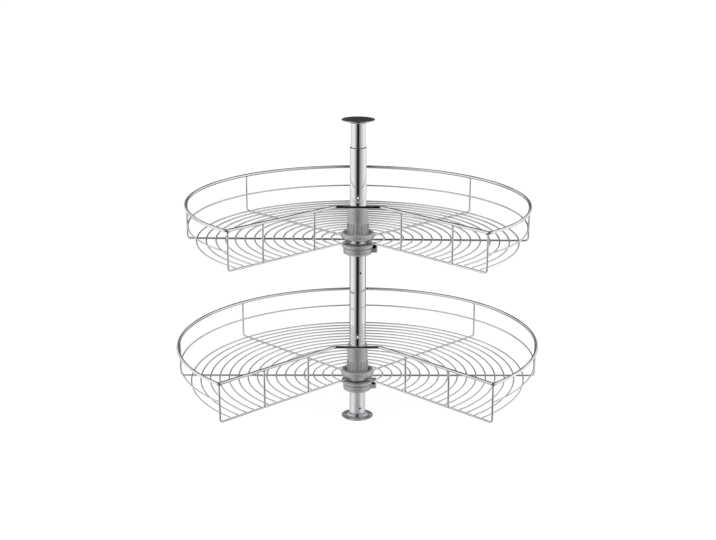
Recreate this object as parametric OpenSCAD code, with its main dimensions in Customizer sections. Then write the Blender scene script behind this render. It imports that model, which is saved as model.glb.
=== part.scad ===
// Two-tier corner carousel for a kitchen corner unit: a telescopic chromed post that stands
// between the cabinet's floor and top, with two three-quarter round wire trays that turn on it.
// Millimetres, +Z up. The origin is the post axis at the underside of the base flange.
// The trays' ninety degree notch faces -Y, where the corner door closes.

/* [Post] */
// Height from the underside of the base flange to the face of the top flange
total_height = 602; // [585:1:720]
// Height of the outer tube's top end
outer_tube_top = 549; // [520:1:570]
// Outside diameter of the outer tube
post_d = 32; // [28:0.5:38]
// Wall thickness of both tubes
tube_wall = 1.2; // [1:0.1:1.6]
// Room between the two tubes, which the guide bush fills
guide_room = 0.8; // [0.6:0.1:2.5]
// Length of the inner tube
inner_tube_length = 458; // [380:1:500]
// Diameter of the base flange
base_flange_d = 63; // [58:1:90]
// Diameter of the top flange
top_flange_d = 64; // [58:1:90]
// Thickness of both flange plates
flange_thickness = 2; // [1.5:0.1:4]
// Height of the rounded neck on each flange
flange_neck_height = 5; // [3:0.5:12]
// Width of the base flange's neck round the outer tube
base_neck_width = 5.45; // [4.4:0.05:8]
// Width of the top flange's neck round the inner tube
top_neck_width = 7.45; // [4.4:0.05:9]
// Circle of the fixing holes in both flanges
fixing_pcd = 53; // [50:0.5:80]
// Diameter of the fixing holes
fixing_hole_d = 4.2; // [3:0.1:6]
// Number of fixing holes in each flange
fixing_hole_count = 4; // [3:1:6]
// Height of the stop stud over the upper tray
upper_stud_z = 452; // [448:1:470]
// Height of the stop stud over the lower tray
lower_stud_z = 172; // [168:1:190]
// Diameter of the stop studs' heads
stud_head_d = 8.2; // [6:0.2:12]
// Height of the grub screw that locks the inner tube
lock_grub_z = 302; // [250:1:320]
// Height of the grub screw that locks the base flange
base_grub_z = 20.5; // [14:0.5:26]
// Diameter of the grub screws
grub_d = 4; // [3:0.5:6]
// Angle of the grub screws round the post, measured from +X
grub_angle = -70; // [-180:1:180]

/* [Trays] */
// Radius of the upper tray's rim, to the centre of its wire
upper_rim_r = 331; // [290:1:360]
// Radius of the lower tray's rim, to the centre of its wire
lower_rim_r = 353; // [290:1:380]
// Height of the upper rim
upper_rim_z = 441; // [400:1:444]
// Height of the lower rim
lower_rim_z = 160; // [140:0.5:164]
// Drop from the rim to the radial floor wires
tray_depth = 75; // [62:0.5:92]
// Drop from the upper rim to its guard wire
upper_guard_drop = 40.4; // [20:0.2:55]
// Drop from the lower rim to its guard wire
lower_guard_drop = 37.2; // [20:0.2:55]
// Diameter of the rim wire
rim_wire_d = 6; // [5:0.5:8]
// Diameter of the radial wires and uprights
frame_wire_d = 4; // [3:0.5:5]
// Diameter of the floor rings
ring_wire_d = 3; // [2:0.5:4]
// Diameter of the guard wire
guard_wire_d = 3; // [2:0.5:4]
// Number of floor rings in the upper tray
upper_ring_count = 15; // [8:1:17]
// Number of floor rings in the lower tray
lower_ring_count = 16; // [8:1:18]
// Radius of the smallest floor ring in the upper tray
upper_first_ring_r = 51.3; // [46:0.1:60]
// Radius of the smallest floor ring in the lower tray
lower_first_ring_r = 50.4; // [46:0.1:60]
// Set-in of the upper tray's largest floor ring from its rim
upper_ring_inset = 19.3; // [12:0.1:30]
// Set-in of the lower tray's largest floor ring from its rim
lower_ring_inset = 23.7; // [12:0.1:30]
// Number of radial wires round the back and sides
radial_count = 5; // [3:2:7]
// Bend radius of the rim's two front corners
rim_corner_r = 6; // [5:0.5:14]
// Bend radius of the rim where it turns in front of the hub
rim_inner_r = 14; // [10:1:30]
// Distance of the rim's short front bar from the post axis
front_bar_y = 45.5; // [40:0.5:60]
// Bend radius of the wires that turn up into uprights
upright_bend_r = 7; // [5:0.5:10]
// Set-in of the upper tray's corner uprights from its rim radius
upper_corner_inset = 4; // [0.5:0.5:6]
// Set-in of the lower tray's corner uprights from its rim radius
lower_corner_inset = 1; // [0.5:0.5:6]
// Distance of the upper tray's inner front uprights from the post axis
upper_inner_upright = 115.2; // [80:0.1:150]
// Distance of the lower tray's inner front uprights from the post axis
lower_inner_upright = 132.4; // [80:0.1:150]
// Distance of both trays' outer front uprights from the post axis
outer_upright = 243.9; // [200:0.1:280]

/* [Hubs] */
// Wall thickness of the steel stub that the radial wires are welded to
stub_wall = 1.75; // [1.2:0.05:2]
// Wall thickness of the sleeve's spigot inside the stub
spigot_sleeve_wall = 2.37; // [1.2:0.01:4]
// Length of the stub below the radial wires' centre
stub_below = 11; // [8:0.5:14]
// Length of the stub above the radial wires' centre
stub_above = 11; // [8:0.5:12.5]
// Wall thickness of the sleeve's plain part
sleeve_wall = 3.92; // [2.5:0.02:5]
// Height of the sleeve's ribs over its plain part
rib_height = 1.5; // [0.8:0.1:2.5]
// Number of ribs round the sleeve
rib_count = 20; // [8:1:30]
// Width of each rib
rib_w = 3; // [2:0.1:4]
// Height of the ribs' top ends over the radial wires
rib_reach = 34; // [20:0.5:45]
// Drop from the rim to the top of the sleeve
sleeve_top_drop = 8; // [4:0.5:20]
// Width of the plastic hub ring round the stub
hub_ring_width = 13; // [9:0.25:15]
// Height of the hub ring's top over the radial wires' centre
hub_ring_rise = 15.5; // [14:0.5:22]

/* [Collars] */
// Drop from the radial wires' centre to the top of the collar
collar_drop = 7; // [5:0.5:8]
// Height of the collar
collar_height = 21.2; // [20:0.2:32]
// Running room between the stub and the collar's recess
cup_gap = 2.75; // [1:0.05:4]
// Wall thickness of the collar's band round the recess
band_wall = 5.3; // [4:0.1:8]
// Width of the collar's lip round the recess
lip_wall = 8.5; // [6.5:0.1:12]
// Thickness of the glide ring under the stub
glide_thickness = 2; // [1:0.1:3]
// Distance of the clamp screw outside the collar's band
clamp_offset = 3.7; // [3:0.1:8]
// Width of the clamp ears' wall outside the screw's seat
ear_wall = 2.2; // [1.2:0.1:5]
// Depth of the clamp ears below the collar's top
ear_depth = 17.4; // [12:0.2:20]
// Drop from the collar's top to the clamp screw
clamp_screw_drop = 5.3; // [4.5:0.1:9]
// Width of the saw cut between the clamp ears
clamp_slot = 1.6; // [1:0.1:3]
// Diameter of the clamp screw
clamp_screw_d = 4; // [3:0.5:5]

/* [Hidden] */
$fn = 96;
weld = 0.05;               // welded wires bite this far into each other
slide_gap = 0.08;          // radial running clearance on the post
tube_gap = 0.08;           // radial running clearance on the inner tube
push_gap = 0.05;           // radial clearance of pushed-in parts
notch_angle = 90;          // the open quarter of each tray
edge_angle = -notch_angle / 2;            // of the right-hand front edge from +X
sweep = 360 - notch_angle;
post_r = post_d / 2;
inner_r = post_r - tube_wall - guide_room;
rim_wr = rim_wire_d / 2;
frame_wr = frame_wire_d / 2;
ring_wr = ring_wire_d / 2;
guard_wr = guard_wire_d / 2;
sleeve_bore_r = post_r + slide_gap;
sleeve_r = sleeve_bore_r + sleeve_wall;
rib_r = sleeve_r + rib_height;
stub_bore_r = sleeve_bore_r + spigot_sleeve_wall + push_gap;
stub_r = stub_bore_r + stub_wall;
hub_ring_r = stub_r + hub_ring_width;
cup_r = stub_r + cup_gap;
band_r = cup_r + band_wall;
lip_r = cup_r + lip_wall;
stub_bottom_drop = tray_depth + stub_below;
stub_top_drop = tray_depth - stub_above;
rib_top_drop = tray_depth - rib_reach;
hub_ring_top_drop = tray_depth - hub_ring_rise;
collar_top_drop = tray_depth + collar_drop;
cup_floor_drop = stub_bottom_drop + glide_thickness;
upright_top_drop = rim_wr - weld;                       // uprights butt under the rim
ring_drop = tray_depth - frame_wr - ring_wr + weld;     // floor rings lie on the radial wires
hub_ring_bottom_drop = tray_depth - frame_wr;           // the hub ring rests on the radial wires
spigot_gap = 0.55;         // the base flange's spigot leaves this room in the tube
spigot_wall = 2.5;
stud_shank_r = 2;
stud_rise = 2.2;           // how far a stud's head stands off the tube
screw_head_r = clamp_screw_d * 0.85;
screw_seat_r = screw_head_r + 0.4;
nut_flats = clamp_screw_d * 1.75;
nut_thickness = clamp_screw_d * 0.8;
counterbore_y = 5.5;       // depth line of the screw's and nut's seats from the saw cut
clamp_x = band_r + clamp_offset;
ear_reach = clamp_x + screw_seat_r + ear_wall;
chrome = [0.83, 0.84, 0.86];
grey_plastic = [0.58, 0.59, 0.60];
dark_steel = [0.20, 0.20, 0.21];
pale_plastic = [0.86, 0.86, 0.84];

// ---- wire helpers ----

// A level arc of round wire about the Z axis.
module wire_arc(r, wr, start, turn) {
    rotate([0, 0, start]) rotate_extrude(angle = turn) translate([r, 0]) circle(wr);
}

// A straight level wire along +X from x0 to x1.
module wire_x(x0, x1, wr) {
    translate([x0, 0, 0]) rotate([0, 90, 0]) cylinder(r = wr, h = x1 - x0);
}

// A floor wire that runs out along +X and turns up into an upright at x = reach.
module bent_wire(from, reach, rise, wr, bend) {
    wire_x(from, reach - bend, wr);
    translate([reach - bend, 0, bend]) rotate([90, 0, 0])
        rotate([0, 0, -90]) rotate_extrude(angle = 90) translate([bend, 0]) circle(wr);
    translate([reach, 0, bend]) cylinder(r = wr, h = rise - bend);
}

// A ring with a plain round hole, standing on z = 0.
module washer(outer_r, bore_r, h) {
    difference() {
        cylinder(r = outer_r, h = h);
        translate([0, 0, -1]) cylinder(r = bore_r, h = h + 2);
    }
}

// ---- tray pieces, each drawn with its rim at z = 0 ----

// A hair-wide band where a straight meets a bend, so that the rim is one solid.
module rim_joint(x, y, along) {
    translate([x, y, 0]) rotate([0, 0, along]) wire_x(-0.3, 0.3, rim_wr + 0.03);
}

// One closed loop: the long arc, two corner bends, two front edges and the short front bar.
module rim_loop(rim_r) {
    c = rim_r - rim_corner_r;
    lead = asin(rim_corner_r / c);
    edge_end = c * cos(lead);
    t = rim_inner_r * tan(notch_angle / 4);
    corner = front_bar_y / sin(notch_angle / 2);
    wire_arc(rim_r, rim_wr, edge_angle + lead, sweep - 2 * lead);
    for (side = [0, 1]) mirror([side, 0, 0]) {
        rotate([0, 0, edge_angle]) {
            wire_x(corner + t, edge_end, rim_wr);
            translate([edge_end, rim_corner_r, 0])
                wire_arc(rim_corner_r, rim_wr, -90, 90 + lead);
            rim_joint(corner + t, 0, 0);
            rim_joint(edge_end, 0, 0);
            rim_joint(rim_r * cos(lead), rim_r * sin(lead), lead + 90);
        }
        rim_joint(front_bar_y - t, -front_bar_y, 0);
        translate([front_bar_y - t, -front_bar_y - rim_inner_r, 0])
            wire_arc(rim_inner_r, rim_wr, 90 + edge_angle, -edge_angle);
    }
    translate([0, -front_bar_y, 0]) wire_x(-front_bar_y + t, front_bar_y - t, rim_wr);
}

module guard_loop(rim_r) {
    r = rim_r - frame_wr - guard_wr + weld;
    lead = asin((frame_wr - weld) / r);
    wire_arc(r, guard_wr, edge_angle + lead, sweep - 2 * lead);
}

module floor_rings(rim_r, count, first_r, inset) {
    pitch = (rim_r - inset - first_r) / (count - 1);
    for (i = [0 : count - 1]) {
        r = first_r + i * pitch;
        over = asin(ring_wr / r);
        translate([0, 0, -ring_drop]) wire_arc(r, ring_wr, edge_angle - over, sweep + 2 * over);
    }
}

module radial_wires(rim_r) {
    step = 180 / (radial_count - 1);
    for (i = [0 : radial_count - 1])
        rotate([0, 0, i * step]) translate([0, 0, -tray_depth])
            bent_wire(stub_r - weld, rim_r, tray_depth - upright_top_drop, frame_wr,
                      upright_bend_r);
}

module edge_wires(reach) {
    for (side = [0, 1]) mirror([side, 0, 0])
        rotate([0, 0, edge_angle]) translate([0, 0, -tray_depth])
            bent_wire(stub_r - weld, reach, tray_depth - upright_top_drop, frame_wr,
                      upright_bend_r);
}

module edge_uprights(inner_x) {
    foot = tray_depth - frame_wr + weld;
    for (side = [0, 1], x = [inner_x, outer_upright]) mirror([side, 0, 0])
        rotate([0, 0, edge_angle]) translate([x, 0, -foot])
            cylinder(r = frame_wr, h = foot - upright_top_drop);
}

module stub() {
    translate([0, 0, -stub_bottom_drop])
        washer(stub_r, stub_bore_r, stub_bottom_drop - stub_top_drop);
}

// The plastic sleeve: a plain upper part, ribs below it and a spigot inside the stub.
module hub_sleeve() {
    core_r = sleeve_r + 0.6;
    difference() {
        union() {
            rotate_extrude() polygon([
                [0, -stub_bottom_drop + 1],
                [stub_bore_r - push_gap, -stub_bottom_drop + 1],
                [stub_bore_r - push_gap, -stub_top_drop],
                [core_r + 1, -stub_top_drop],
                [core_r + 1, -hub_ring_top_drop - 1],
                [core_r, -hub_ring_top_drop],
                [sleeve_r, -rib_top_drop + 1],
                [sleeve_r, -sleeve_top_drop - 2.5],
                [sleeve_r - sleeve_wall * 0.55, -sleeve_top_drop],
                [0, -sleeve_top_drop]
            ]);
            for (i = [0 : rib_count - 1]) rotate([0, 0, (i + 0.5) * 360 / rib_count])
                translate([sleeve_r - 1, -rib_w / 2, -hub_ring_top_drop - 3])
                    cube([rib_r - sleeve_r + 1, rib_w, hub_ring_top_drop + 3 - rib_top_drop]);
        }
        translate([0, 0, -stub_bottom_drop - 1])
            cylinder(r = sleeve_bore_r, h = stub_bottom_drop + 2);
    }
}

// The rounded plastic ring round the sleeve's foot, with a groove between the two.
module hub_ring() {
    r = hub_ring_r;
    b = hub_ring_bottom_drop;
    t = hub_ring_top_drop;
    groove_r = rib_r + 3.1;
    rotate_extrude() polygon([
        [stub_r + push_gap, -b], [r - 7, -b], [r - 4, -b + 0.9], [r - 1.6, -b + 2.9],
        [r - 0.3, -b + 5.6], [r, -b + 7.2], [r - 0.5, -t - 3.8], [r - 2, -t - 1.4], [r - 4.6, -t],
        [groove_r + 0.5, -t], [groove_r, -t - 0.6], [groove_r, -stub_top_drop],
        [stub_r + push_gap, -stub_top_drop]
    ]);
}

// ---- collar pieces, also drawn from the rim down ----

module glide_ring() {
    translate([0, 0, -cup_floor_drop])
        washer(cup_r - 0.4, post_r + 0.6, glide_thickness);
}

// Ring seats, saw cut, ears and the screw's and nut's seats, all in one moulding.
module collar() {
    top = -collar_top_drop;
    bottom = top - collar_height;
    ear_w = 8.5;
    screw_z = top - clamp_screw_drop;
    difference() {
        union() {
            rotate_extrude() polygon([
                [post_r - 2, bottom], [band_r - 3.6, bottom], [band_r - 1.2, bottom + 1.2],
                [band_r, bottom + 3.4], [band_r, top - 8.1], [band_r - 1, top - 8.1],
                [band_r - 1, top - 7], [band_r + 0.8, top - 7], [lip_r, top - 5.4],
                [lip_r, top - 1], [lip_r - 1, top], [cup_r + 0.8, top], [cup_r, top - 0.8],
                [cup_r, -cup_floor_drop], [post_r - 2, -cup_floor_drop]
            ]);
            translate([band_r - 4, -ear_w, top - ear_depth])
                cube([ear_reach - band_r + 4, 2 * ear_w, ear_depth - 0.3]);
        }
        translate([0, 0, bottom - 1]) cylinder(r = post_r + slide_gap, h = collar_height + 2);
        translate([0, 0, -cup_floor_drop]) cylinder(r = cup_r, h = cup_floor_drop);
        translate([0, -clamp_slot / 2, bottom - 1]) cube([ear_reach + 2, clamp_slot, collar_height + 2]);
        translate([clamp_x, ear_w + 2, screw_z]) rotate([90, 0, 0])
            cylinder(r = clamp_screw_d / 2 + 0.2, h = 2 * ear_w + 4);
        translate([clamp_x, -counterbore_y, screw_z]) rotate([90, 0, 0])
            cylinder(r = screw_seat_r, h = 20);
        translate([clamp_x, counterbore_y + 20, screw_z]) rotate([90, 0, 0])
            rotate([0, 0, 30]) cylinder(r = (nut_flats / 2 + 0.15) / cos(30), h = 20, $fn = 6);
    }
}

module clamp_screw() {
    z = -collar_top_drop - clamp_screw_drop;
    reach = 2 * counterbore_y + nut_thickness + 1;
    translate([clamp_x, -counterbore_y, z]) rotate([90, 0, 0]) difference() {
        union() {
            cylinder(r = screw_head_r, h = clamp_screw_d);
            translate([0, 0, -reach]) cylinder(r = clamp_screw_d / 2 - 0.05, h = reach + 0.5);
        }
        translate([0, 0, clamp_screw_d * 0.45])
            cylinder(r = clamp_screw_d * 0.4 / cos(30), h = clamp_screw_d, $fn = 6);
    }
}

module clamp_nut() {
    z = -collar_top_drop - clamp_screw_drop;
    translate([clamp_x, counterbore_y + nut_thickness, z]) rotate([90, 0, 0]) difference() {
        rotate([0, 0, 30]) cylinder(r = nut_flats / 2 / cos(30), h = nut_thickness, $fn = 6);
        translate([0, 0, -1]) cylinder(r = clamp_screw_d / 2 + 0.05, h = nut_thickness + 2);
    }
}

// ---- post pieces ----

// A pressed plate with a rounded neck; the plate's outer face is at z = 0.
module flange(plate_d, grip_r, neck_width, spigot_r, spigot_h) {
    neck_r = grip_r + neck_width;
    t = flange_thickness;
    difference() {
        union() {
            rotate_extrude() polygon([
                [0, 0], [plate_d / 2 - 0.5, 0], [plate_d / 2, 0.5], [plate_d / 2, t - 0.5],
                [plate_d / 2 - 0.5, t], [neck_r, t], [neck_r - 1.2, t + 0.9],
                [grip_r + 2.6, t + flange_neck_height - 1.2],
                [grip_r + 1.2, t + flange_neck_height], [grip_r, t + flange_neck_height],
                [grip_r, t], [spigot_r, t], [spigot_r, t + spigot_h - 1],
                [spigot_r - 1, t + spigot_h], [spigot_r - spigot_wall, t + spigot_h],
                [spigot_r - spigot_wall, t], [0, t]
            ]);
        }
        for (i = [0 : fixing_hole_count - 1]) rotate([0, 0, i * 360 / fixing_hole_count])
            translate([fixing_pcd / 2, 0, -1]) cylinder(r = fixing_hole_d / 2, h = t + 2);
    }
}

module base_flange() {
    color(chrome) flange(base_flange_d, post_r + push_gap, base_neck_width,
                         post_r - tube_wall - spigot_gap, 30);
}

module outer_tube() {
    color(chrome) difference() {
        translate([0, 0, flange_thickness])
            washer(post_r, post_r - tube_wall, outer_tube_top - flange_thickness);
        for (z = [upper_stud_z, lower_stud_z]) translate([0, 0, z]) rotate([90, 0, 0])
            cylinder(r = stud_shank_r + push_gap, h = post_r + 2);
        for (z = [lock_grub_z, base_grub_z]) translate([0, 0, z]) rotate([0, 90, grub_angle])
            cylinder(r = grub_d / 2 + push_gap, h = post_r + 2);
    }
}

// A thin plastic guide with a lip over the outer tube's end.
module guide_bush() {
    bore = inner_r + tube_gap;
    color(pale_plastic) translate([0, 0, outer_tube_top]) rotate_extrude() polygon([
        [bore, -20], [post_r - tube_wall - push_gap, -20], [post_r - tube_wall - push_gap, 0],
        [post_r - 0.2, 0], [post_r - 0.2, 0.8], [post_r - 0.8, 1.4], [bore, 1.4]
    ]);
}

// Two identical studs with a domed, dimpled head; each stands over a tray's sleeve.
module stop_studs() {
    color(chrome) for (z = [upper_stud_z, lower_stud_z])
        translate([0, -post_r, z]) rotate([90, 0, 0]) {
            translate([0, 0, -tube_wall - 0.4]) cylinder(r = stud_shank_r, h = tube_wall + 0.6);
            difference() {
                intersection() {
                    translate([0, 0, -1]) cylinder(r = stud_head_d / 2, h = stud_rise + 2);
                    translate([0, 0, stud_rise - 6]) sphere(r = 6);
                }
                translate([0, 0, -post_r]) rotate([90, 0, 0])
                    cylinder(r = post_r, h = 4 * stud_head_d, center = true);
                translate([0, 0, stud_rise + 0.9]) sphere(r = 1.6);
            }
        }
}

module grub_screws() {
    color(dark_steel) for (seat = [[lock_grub_z, inner_r + 0.3],
                                   [base_grub_z, post_r - tube_wall - spigot_gap + 0.05]])
        translate([0, 0, seat[0]]) rotate([0, 90, grub_angle]) difference() {
            translate([0, 0, seat[1]]) cylinder(r = grub_d / 2, h = post_r - 0.2 - seat[1]);
            translate([0, 0, post_r - 1]) cylinder(r = grub_d * 0.27 / cos(30), h = 2, $fn = 6);
        }
}

module inner_tube() {
    color(chrome) translate([0, 0, total_height - flange_thickness - inner_tube_length])
        washer(inner_r, inner_r - tube_wall, inner_tube_length);
}

module top_flange() {
    color(chrome) translate([0, 0, total_height]) mirror([0, 0, 1])
        flange(top_flange_d, inner_r + push_gap, top_neck_width,
               inner_r - tube_wall - push_gap, 24);
}

// ---- the upper tray and its collar ----

module upper_rim() { color(chrome) translate([0, 0, upper_rim_z]) rim_loop(upper_rim_r); }
module upper_guard_wire() {
    color(chrome) translate([0, 0, upper_rim_z - upper_guard_drop]) guard_loop(upper_rim_r);
}
module upper_floor_rings() {
    color(chrome) translate([0, 0, upper_rim_z])
        floor_rings(upper_rim_r, upper_ring_count, upper_first_ring_r, upper_ring_inset);
}
module upper_radial_wires() { color(chrome) translate([0, 0, upper_rim_z]) radial_wires(upper_rim_r); }
module upper_edge_wires() {
    color(chrome) translate([0, 0, upper_rim_z]) edge_wires(upper_rim_r - upper_corner_inset);
}
module upper_edge_uprights() {
    color(chrome) translate([0, 0, upper_rim_z]) edge_uprights(upper_inner_upright);
}
module upper_stub() { color(chrome) translate([0, 0, upper_rim_z]) stub(); }
module upper_hub_sleeve() { color(grey_plastic) translate([0, 0, upper_rim_z]) hub_sleeve(); }
module upper_hub_ring() { color(grey_plastic) translate([0, 0, upper_rim_z]) hub_ring(); }
module upper_glide_ring() { color(pale_plastic) translate([0, 0, upper_rim_z]) glide_ring(); }
module upper_collar() { color(grey_plastic) translate([0, 0, upper_rim_z]) collar(); }
module upper_clamp_screw() { color(dark_steel) translate([0, 0, upper_rim_z]) clamp_screw(); }
module upper_clamp_nut() { color(dark_steel) translate([0, 0, upper_rim_z]) clamp_nut(); }

// ---- the lower tray and its collar ----

module lower_rim() { color(chrome) translate([0, 0, lower_rim_z]) rim_loop(lower_rim_r); }
module lower_guard_wire() {
    color(chrome) translate([0, 0, lower_rim_z - lower_guard_drop]) guard_loop(lower_rim_r);
}
module lower_floor_rings() {
    color(chrome) translate([0, 0, lower_rim_z])
        floor_rings(lower_rim_r, lower_ring_count, lower_first_ring_r, lower_ring_inset);
}
module lower_radial_wires() { color(chrome) translate([0, 0, lower_rim_z]) radial_wires(lower_rim_r); }
module lower_edge_wires() {
    color(chrome) translate([0, 0, lower_rim_z]) edge_wires(lower_rim_r - lower_corner_inset);
}
module lower_edge_uprights() {
    color(chrome) translate([0, 0, lower_rim_z]) edge_uprights(lower_inner_upright);
}
module lower_stub() { color(chrome) translate([0, 0, lower_rim_z]) stub(); }
module lower_hub_sleeve() { color(grey_plastic) translate([0, 0, lower_rim_z]) hub_sleeve(); }
module lower_hub_ring() { color(grey_plastic) translate([0, 0, lower_rim_z]) hub_ring(); }
module lower_glide_ring() { color(pale_plastic) translate([0, 0, lower_rim_z]) glide_ring(); }
module lower_collar() { color(grey_plastic) translate([0, 0, lower_rim_z]) collar(); }
module lower_clamp_screw() { color(dark_steel) translate([0, 0, lower_rim_z]) clamp_screw(); }
module lower_clamp_nut() { color(dark_steel) translate([0, 0, lower_rim_z]) clamp_nut(); }

base_flange();
outer_tube();
guide_bush();
stop_studs();
grub_screws();
inner_tube();
top_flange();
upper_rim();
upper_guard_wire();
upper_floor_rings();
upper_radial_wires();
upper_edge_wires();
upper_edge_uprights();
upper_stub();
upper_hub_sleeve();
upper_hub_ring();
upper_glide_ring();
upper_collar();
upper_clamp_screw();
upper_clamp_nut();
lower_rim();
lower_guard_wire();
lower_floor_rings();
lower_radial_wires();
lower_edge_wires();
lower_edge_uprights();
lower_stub();
lower_hub_sleeve();
lower_hub_ring();
lower_glide_ring();
lower_collar();
lower_clamp_screw();
lower_clamp_nut();
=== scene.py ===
"""Two-tier corner carousel, dressed for its picture.

A chromed telescopic post carries two three-quarter round wire trays on plastic hubs and clamp
collars. Sizes and meshes are in millimetres, as in the CAD source, until make_object turns a
finished mesh into metres. Each tier of the carousel has a tray, a hub and a collar.
"""
import logging
from collections.abc import Callable, Iterable, Sequence
from dataclasses import dataclass
from enum import Enum
from math import asin, ceil, cos, degrees, hypot, pi, radians, sin, tan
from typing import Any

import bmesh
import bpy
from mathutils import Matrix, Vector


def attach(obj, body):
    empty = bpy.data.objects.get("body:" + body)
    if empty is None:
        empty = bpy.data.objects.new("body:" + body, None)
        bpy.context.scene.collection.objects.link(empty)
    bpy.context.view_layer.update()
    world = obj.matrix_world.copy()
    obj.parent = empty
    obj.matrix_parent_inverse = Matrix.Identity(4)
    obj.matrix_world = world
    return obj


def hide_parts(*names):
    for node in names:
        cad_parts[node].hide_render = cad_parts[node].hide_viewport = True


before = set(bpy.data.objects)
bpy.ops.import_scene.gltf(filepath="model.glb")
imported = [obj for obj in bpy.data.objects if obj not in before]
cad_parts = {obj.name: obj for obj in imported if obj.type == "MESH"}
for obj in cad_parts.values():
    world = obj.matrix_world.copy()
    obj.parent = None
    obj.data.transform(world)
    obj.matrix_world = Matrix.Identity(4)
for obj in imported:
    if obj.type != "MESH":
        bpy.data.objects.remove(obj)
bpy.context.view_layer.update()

MM = 0.001
LOG = logging.getLogger("carousel")

Point = tuple[float, float]
Corner = tuple[float, float, float]
Mesh = bmesh.types.BMesh
Node = bpy.types.Node
Tree = bpy.types.NodeTree


# ---------------- colour and nodes

def linear(code: str) -> tuple[float, float, float, float]:
    """Turns an sRGB hex colour into the linear colour that Blender works in.

    Args:
        code: the colour as "#RRGGBB".

    Returns:
        Linear red, green, blue and an alpha of one.
    """
    parts = [int(code[i:i + 2], 16) / 255 for i in (1, 3, 5)]
    red, green, blue = (c / 12.92 if c <= 0.04045 else ((c + 0.055) / 1.055) ** 2.4 for c in parts)
    return red, green, blue, 1.0


def add(tree: Tree, kind: str, settings: dict[Any, Any] | None = None,
        links: dict[Any, Node | bpy.types.NodeSocket] | None = None) -> Node:
    """Adds one shader node to a tree, with its settings and its incoming links.

    Args:
        tree: the node tree that gets the node.
        kind: the node's Blender type name after "ShaderNode".
        settings: input names or numbers with plain values, or node properties.
        links: input names or numbers with what feeds them; a node feeds its first output.

    Returns:
        The new node.
    """
    node = tree.nodes.new(f"ShaderNode{kind}")
    for key, value in (settings or {}).items():
        if isinstance(key, int) or key in node.inputs:
            node.inputs[key].default_value = value
        else:
            setattr(node, key, value)
    for key, source in (links or {}).items():
        output = source.outputs[0] if isinstance(source, Node) else source
        tree.links.new(output, node.inputs[key])
    return node


def noise(tree: Tree, size_mm: float, detail: float, roughness: float = 0.5) -> Node:
    """Adds cloudy noise that is fixed to the piece.

    Args:
        tree: the node tree that gets it.
        size_mm: the real size of its patches.
        detail: how many finer layers it has.
        roughness: how strong the finer layers are.

    Returns:
        The noise node.
    """
    place = add(tree, "TexCoord").outputs["Object"]
    return add(tree, "TexNoise", {"Scale": 1 / (size_mm * MM), "Detail": detail,
                                  "Roughness": roughness}, {"Vector": place})


def span(tree: Tree, source: Node | bpy.types.NodeSocket, old: Point, new: Point = (0, 1)) -> Node:
    """Adds a node that turns one range of a value into another.

    Args:
        tree: the node tree that gets it.
        source: what feeds it.
        old: the value's own range.
        new: the range that it is turned into.

    Returns:
        The node.
    """
    return add(tree, "MapRange", {"From Min": old[0], "From Max": old[1], "To Min": new[0],
                                  "To Max": new[1]}, {"Value": source})


# ---------------- finishes

@dataclass(frozen=True)
class Finish:
    """One real surface; a kind of surface adds its own nodes."""

    name: str

    def material(self) -> bpy.types.Material:
        """Makes the finish's material, the first time that it is asked for.

        Returns:
            The material.
        """
        made = bpy.data.materials.get(self.name)
        if made is None:
            made = bpy.data.materials.new(self.name)
            made.use_nodes = True
            tree = made.node_tree
            tree.nodes.clear()
            add(tree, "OutputMaterial", {}, {"Surface": self.dress(tree)})
        return made

    def dress(self, tree: Tree) -> Node:
        """Adds the finish's nodes to an empty tree and returns the surface node."""
        raise NotImplementedError


@dataclass(frozen=True)
class BrightChrome(Finish):
    """Bright nickel and chromium plating on steel that was drawn or belt polished.

    The eye gets a near mirror. Fine marks run along the work and soften the reflections a
    little across it, and a faint haze is left where the plating bath was uneven.
    """

    clear: str = "#F4F5F6"
    haze: str = "#E6E8EA"
    smooth: float = 0.035
    rough: float = 0.085
    mark_mm: float = 0.30      # polishing marks are about 0.05 mm apart, drawn coarser to show
    mark_run_mm: float = 45.0  # and run for a few centimetres
    cloud_mm: float = 28.0     # haze clouds from the bath
    mark_depth_mm: float = 0.0012
    spin: float = 0.0          # how strongly turned marks spread a gleam out from the post

    def dress(self, tree: Tree) -> Node:
        """Adds marks, haze and plating nodes.

        Args:
            tree: the material's empty tree.

        Returns:
            The surface node.
        """
        uv = add(tree, "UVMap", {"uv_map": "work"})
        run = add(tree, "Mapping", {"Scale": (1 / self.mark_run_mm, 1 / self.mark_mm, 1)},
                  {"Vector": uv})
        marks = add(tree, "TexNoise", {"Scale": 1.0, "Detail": 3.0, "Roughness": 0.6}, {"Vector": run})
        cloud = noise(tree, self.cloud_mm, 2.0)
        both = add(tree, "Math", {"operation": "MULTIPLY_ADD", 1: 0.45}, {0: marks, 2: cloud})
        gloss = span(tree, both, (0.45, 1.0), (self.smooth, self.rough))
        tint = add(tree, "Mix", {"data_type": "RGBA", 6: linear(self.clear), 7: linear(self.haze)},
                   {0: cloud})
        relief = add(tree, "Bump", {"Strength": 0.5, "Distance": self.mark_depth_mm * MM},
                     {"Height": marks})
        links = {"Base Color": tint.outputs[2], "Roughness": gloss, "Normal": relief}
        if self.spin:
            links["Tangent"] = add(tree, "Tangent", {"direction_type": "RADIAL", "axis": "Z"})
        return add(tree, "BsdfPrincipled", {"Metallic": 1.0, "Anisotropic": self.spin}, links)


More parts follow.
